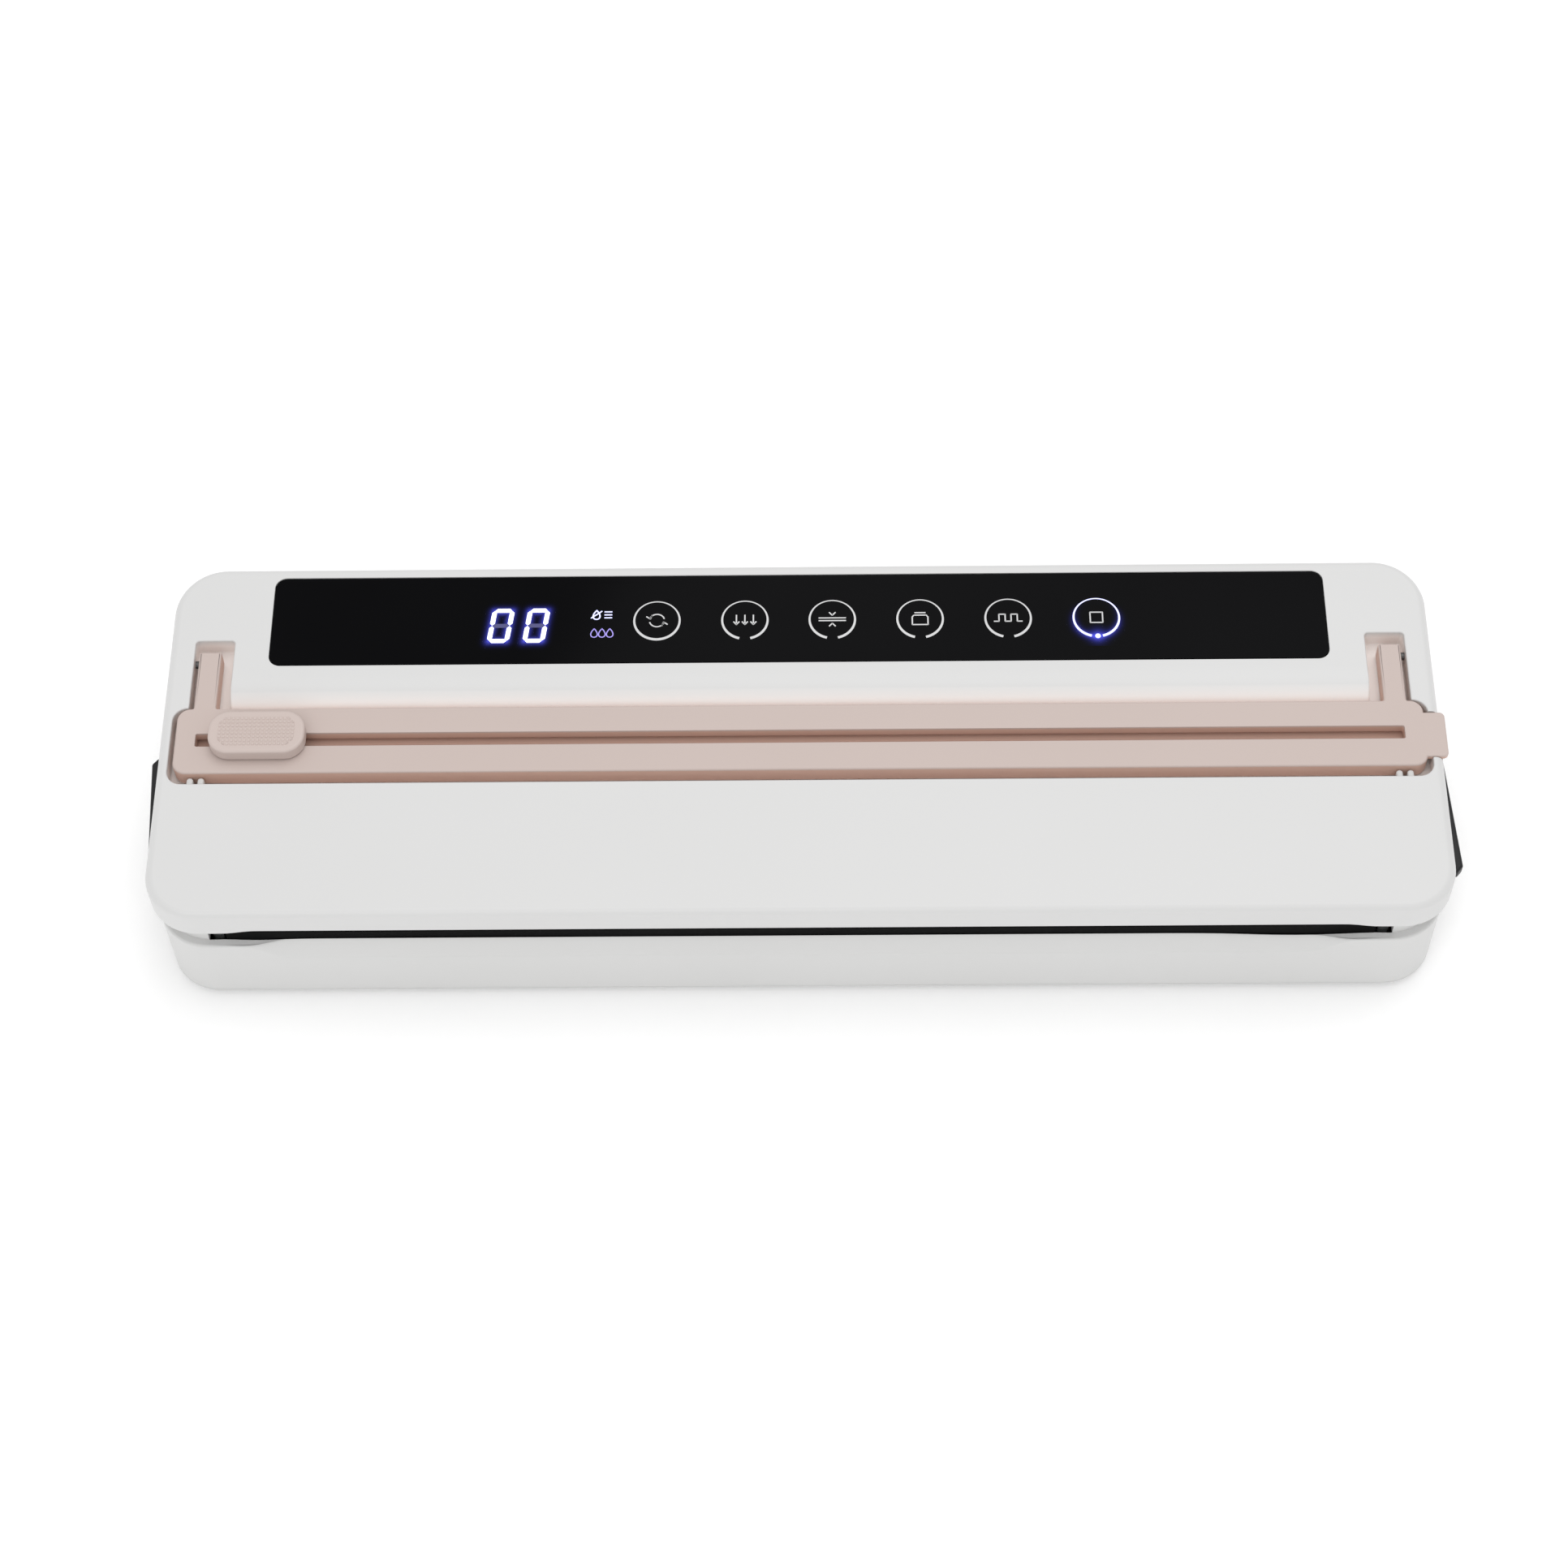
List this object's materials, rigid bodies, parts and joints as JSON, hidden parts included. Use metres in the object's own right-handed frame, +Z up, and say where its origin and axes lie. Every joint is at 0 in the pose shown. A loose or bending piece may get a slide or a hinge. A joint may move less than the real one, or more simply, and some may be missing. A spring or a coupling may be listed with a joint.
{
  "type": "vacuum sealer",
  "caption": "Low tabletop vacuum sealer: hinged lid with touch panel, lift-up sliding bag cutter, heat bar, vacuum chamber, pump and side lid releases.",
  "frame": {"origin": "middle of the footprint at table level, under the feet", "axes": "+X to the user's right along the lid, +Y to the hinge side at the rear, +Z up"},
  "size_m": [0.3976, 0.1234, 0.0534],
  "materials": {
    "white_shell": "fine satin moulded ABS",
    "rose_plastic": "satin moulded ABS",
    "black_plastic": "satin moulded",
    "panel_glass": "glossy black acrylic, printed behind",
    "black_foam": "matt closed-cell foam",
    "seal_rubber": "matt silicone",
    "foot_rubber": "matt",
    "hose_silicone": "translucent silicone, satin",
    "bright_steel": "plain",
    "nonstick_tape": "woven glass cloth with non-stick coat",
    "circuit_board": "solder mask",
    "winding": "varnished core"
  },
  "bodies": {
    "base": {"base_housing": "white_shell", "bottom_cover": "white_shell", "foot_front_left": "foot_rubber", "foot_front_right": "foot_rubber", "foot_rear_left": "foot_rubber", "foot_rear_right": "foot_rubber", "cover_screw_front_left": "bright_steel", "cover_screw_front_right": "bright_steel", "cover_screw_rear_left": "bright_steel", "cover_screw_rear_right": "bright_steel", "chamber_tray": "white_shell", "lower_gasket": "black_foam", "heating_bar": "black_plastic", "heating_strip": "bright_steel", "sealing_tape": "nonstick_tape", "strip_clip_left": "bright_steel", "strip_clip_right": "bright_steel", "pump_motor": "bright_steel", "pump_head": "black_plastic", "pump_hose": "hose_silicone", "valve_hose": "hose_silicone", "release_valve": "black_plastic", "power_board": "circuit_board", "transformer": "winding", "power_inlet": "black_plastic", "inlet_pin_left": "bright_steel", "inlet_pin_right": "bright_steel", "lid_switch_left": "black_plastic", "lid_switch_right": "black_plastic", "canister_port": "black_plastic", "hinge_pin_left": "bright_steel", "hinge_pin_right": "bright_steel"},
    "pump_crank": {"pump_crank": "bright_steel"},
    "release_left": {"release_button_left": "black_plastic", "latch_plate_left": "bright_steel", "latch_spring_left": "bright_steel"},
    "release_right": {"release_button_right": "black_plastic", "latch_plate_right": "bright_steel", "latch_spring_right": "bright_steel"},
    "lid": {"lid_shell": "white_shell", "lid_liner": "white_shell", "upper_gasket": "black_foam", "seal_strip": "seal_rubber", "control_panel": "panel_glass", "display_board": "circuit_board", "digit_module": "black_plastic", "latch_hook_left": "bright_steel", "latch_hook_right": "bright_steel", "liner_screw_front_left": "bright_steel", "liner_screw_front_right": "bright_steel", "liner_screw_rear_left": "bright_steel", "liner_screw_rear_right": "bright_steel"},
    "cutter": {"cutter_frame": "rose_plastic", "cutter_rail": "rose_plastic", "pivot_pin_left": "bright_steel", "pivot_pin_right": "bright_steel"},
    "slider": {"slider_knob": "rose_plastic", "slider_carrier": "black_plastic", "cutter_blade": "bright_steel"}
  },
  "joints": [
    {"name": "lid_hinge", "type": "hinge", "parent": "base", "child": "lid", "pos_m": [0, 0.05675, 0.0329], "axis": [-1, 0, 0], "range_deg": [0, 65]},
    {"name": "cutter_pivot", "type": "hinge", "parent": "lid", "child": "cutter", "pos_m": [0, 0.02825, 0.0449], "axis": [-1, 0, 0], "range_deg": [0, 70]},
    {"name": "cutter_slide", "type": "slide", "parent": "cutter", "child": "slider", "axis": [1, 0, 0], "range_m": [0, 0.325]},
    {"name": "release_left_press", "type": "slide", "parent": "base", "child": "release_left", "axis": [1, 0, 0], "range_m": [0, 0.003], "stiffness_N_per_m": 600, "deforming": ["latch_spring_left"]},
    {"name": "release_right_press", "type": "slide", "parent": "base", "child": "release_right", "axis": [-1, 0, 0], "range_m": [0, 0.003], "stiffness_N_per_m": 600, "deforming": ["latch_spring_right"]},
    {"name": "pump_spin", "type": "hinge", "parent": "base", "child": "pump_crank", "pos_m": [0, 0.026, 0.0166], "axis": [1, 0, 0], "continuous": true}
  ]
}
